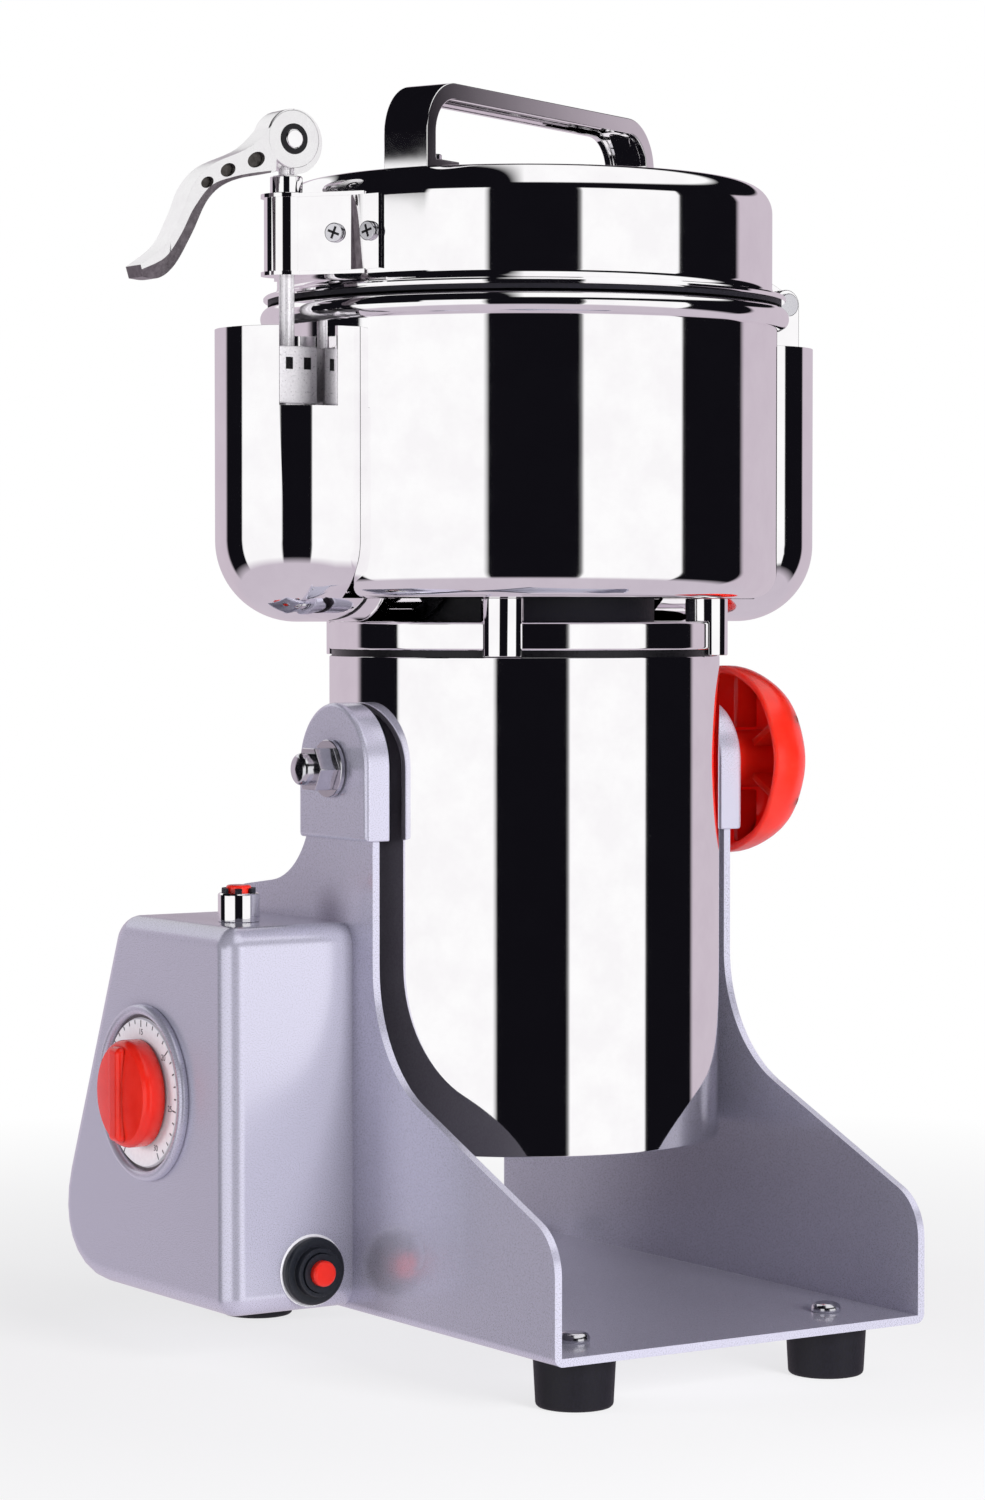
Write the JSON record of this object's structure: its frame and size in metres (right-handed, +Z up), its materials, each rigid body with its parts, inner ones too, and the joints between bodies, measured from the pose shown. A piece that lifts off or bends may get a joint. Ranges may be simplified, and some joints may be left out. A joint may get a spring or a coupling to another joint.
{
  "type": "electric grain grinder",
  "caption": "Tilting electric grain grinder: steel motor tube with a lidded grinding bowl, cam clamp and lock knob, on a folded steel base with a control box.",
  "frame": {"origin": "Centre of the bounding box on the surface that the feet stand on, bowl upright, lid closed and cam lever down.", "axes": "+Z up along the motor, -Y towards the open front of the base, -X towards the control box and the cam lever, +X towards the lock knob and the lid hinge."},
  "size_m": [0.251, 0.2306, 0.397],
  "materials": {
    "silver_paint": "satin, finely textured",
    "mirror_steel": "mirror polished stainless steel",
    "zinc_steel": "bright zinc",
    "cast_aluminium": "as cast",
    "blade_steel": "ground",
    "bearing_steel": "ground",
    "motor_iron": "varnished laminations",
    "bronze": "plain sintered",
    "black_rubber": "matte",
    "black_plastic": "satin",
    "red_plastic": "glossy moulded",
    "dial_plastic": "printed, satin"
  },
  "bodies": {
    "base": {"base_frame": "silver_paint", "pivot_cap_left": "silver_paint", "pivot_cap_right": "silver_paint", "pivot_bushes": "bronze", "rubber_feet": "black_rubber", "foot_screws": "zinc_steel", "control_box": "silver_paint", "box_screws": "zinc_steel", "timer_body": "black_plastic", "timer_dial": "dial_plastic", "breaker_body": "black_plastic", "breaker_bezel": "black_plastic", "switch_body": "black_plastic", "switch_bezel": "mirror_steel", "cable_gland": "black_rubber"},
    "head": {"motor_tube": "mirror_steel", "bottom_cover": "cast_aluminium", "end_bracket": "cast_aluminium", "lower_bearing": "bearing_steel", "upper_bearing": "bearing_steel", "top_cap": "mirror_steel", "stator": "motor_iron", "brush_holders": "black_plastic", "pivot_stud_left": "zinc_steel", "pivot_stud_right": "zinc_steel", "stud_washer": "zinc_steel", "stud_nut": "zinc_steel", "bowl_pillars": "mirror_steel", "bowl": "mirror_steel", "shaft_seal": "black_rubber", "neck_gasket": "black_rubber", "bowl_arm_left": "mirror_steel", "bowl_arm_right": "mirror_steel", "clamp_keeper": "mirror_steel", "hinge_lug": "mirror_steel", "hinge_pin": "zinc_steel"},
    "rotor": {"motor_shaft": "blade_steel", "armature": "motor_iron", "cooling_fan": "black_plastic", "blade_lower": "blade_steel", "blade_middle": "blade_steel", "blade_upper": "blade_steel", "blade_spacers": "blade_steel", "blade_nut": "blade_steel"},
    "lid": {"lid": "mirror_steel", "lid_seal": "black_rubber", "handle": "mirror_steel", "handle_screws": "zinc_steel", "clamp_bracket": "mirror_steel", "bracket_screws": "zinc_steel", "clamp_collar": "mirror_steel", "hinge_leaf": "mirror_steel"},
    "clamp_rod": {"clamp_rod": "mirror_steel"},
    "cam_lever": {"cam_lever": "mirror_steel", "cam_pin": "zinc_steel"},
    "lock_knob": {"lock_knob": "red_plastic"},
    "timer": {"timer_spindle": "zinc_steel", "timer_knob": "red_plastic"},
    "power_button": {"power_button": "red_plastic"},
    "reset_button": {"reset_button": "red_plastic"}
  },
  "joints": [
    {"name": "body_tilt", "type": "hinge", "parent": "base", "child": "head", "pos_m": [0.0158, 0.0034, 0.186], "axis": [1, 0, 0], "range_deg": [0, 100]},
    {"name": "rotor_spin", "type": "hinge", "parent": "head", "child": "rotor", "pos_m": [0.0158, 0.0034, 0.186], "axis": [0, 0, 1], "continuous": true},
    {"name": "lid_swing", "type": "hinge", "parent": "head", "child": "lid", "pos_m": [0.1118, 0.0034, 0.336], "axis": [0, 1, 0], "range_deg": [0, 95]},
    {"name": "rod_lift", "type": "slide", "parent": "lid", "child": "clamp_rod", "axis": [0, 0, -1], "range_m": [0, 0.0009]},
    {"name": "cam_swing", "type": "hinge", "parent": "clamp_rod", "child": "cam_lever", "pos_m": [-0.0722, 0.0034, 0.37955], "axis": [0, 1, 0], "range_deg": [0, 100]},
    {"name": "lock_turn", "type": "hinge", "parent": "head", "child": "lock_knob", "pos_m": [0.0882, 0.0034, 0.186], "axis": [1, 0, 0], "range_deg": [0, 360]},
    {"name": "timer_turn", "type": "hinge", "parent": "base", "child": "timer", "pos_m": [-0.0972, 0.0494, 0.083], "axis": [-1, 0, 0], "range_deg": [0, 300]},
    {"name": "power_press", "type": "slide", "parent": "base", "child": "power_button", "axis": [0, 0, -1], "range_m": [0, 0.002], "stiffness_N_per_m": 400},
    {"name": "reset_press", "type": "slide", "parent": "base", "child": "reset_button", "axis": [0, 1, 0], "range_m": [0, 0.002], "stiffness_N_per_m": 400}
  ],
  "couplings": [
    {"joint": "rod_lift", "follows": "cam_swing", "m_per_rad": 0.00051566}
  ]
}
